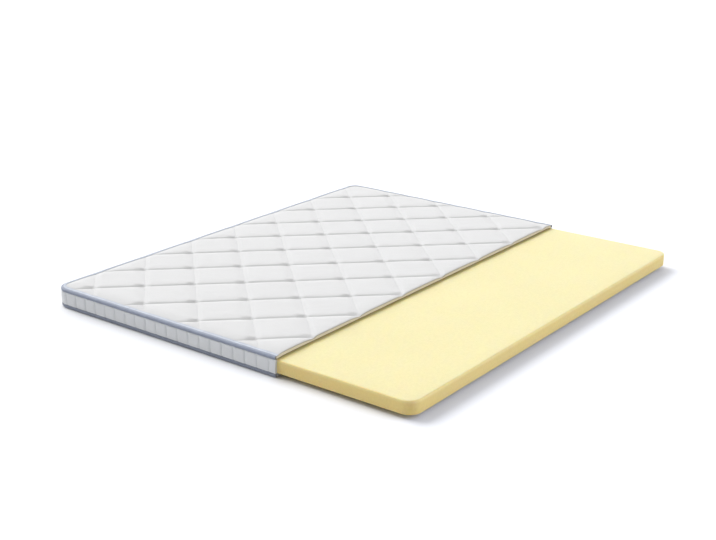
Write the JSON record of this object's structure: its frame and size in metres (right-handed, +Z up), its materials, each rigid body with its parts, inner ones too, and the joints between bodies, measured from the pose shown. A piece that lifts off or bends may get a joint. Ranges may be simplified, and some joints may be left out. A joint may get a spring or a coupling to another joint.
{
  "type": "mattress topper",
  "caption": "Flat foam mattress topper in a diamond-quilted white cover with a ribbed side band and blue edge tapes, cut away at one end to show the foam slab.",
  "frame": {"origin": "on the floor, below the middle of the whole topper's box", "axes": "+X across the bed towards the bare end of the foam, +Y along the 2.0 m length, +Z up"},
  "size_m": [1.811, 2.022, 0.093],
  "materials": {
    "foam": "matt open-cell foam, pale yellow",
    "quilted_fabric": "matt white knit, quilted",
    "base_fabric": "matt plain knit, off-white",
    "border_fabric": "matt pale grey knit, ribbed",
    "tape": "woven binding tape, soft blue, slight sheen"
  },
  "bodies": {
    "root": {"foam_core": "foam", "top_panel": "quilted_fabric", "bottom_panel": "base_fabric", "border": "border_fabric", "top_tape": "tape", "bottom_tape": "tape"}
  },
  "joints": []
}
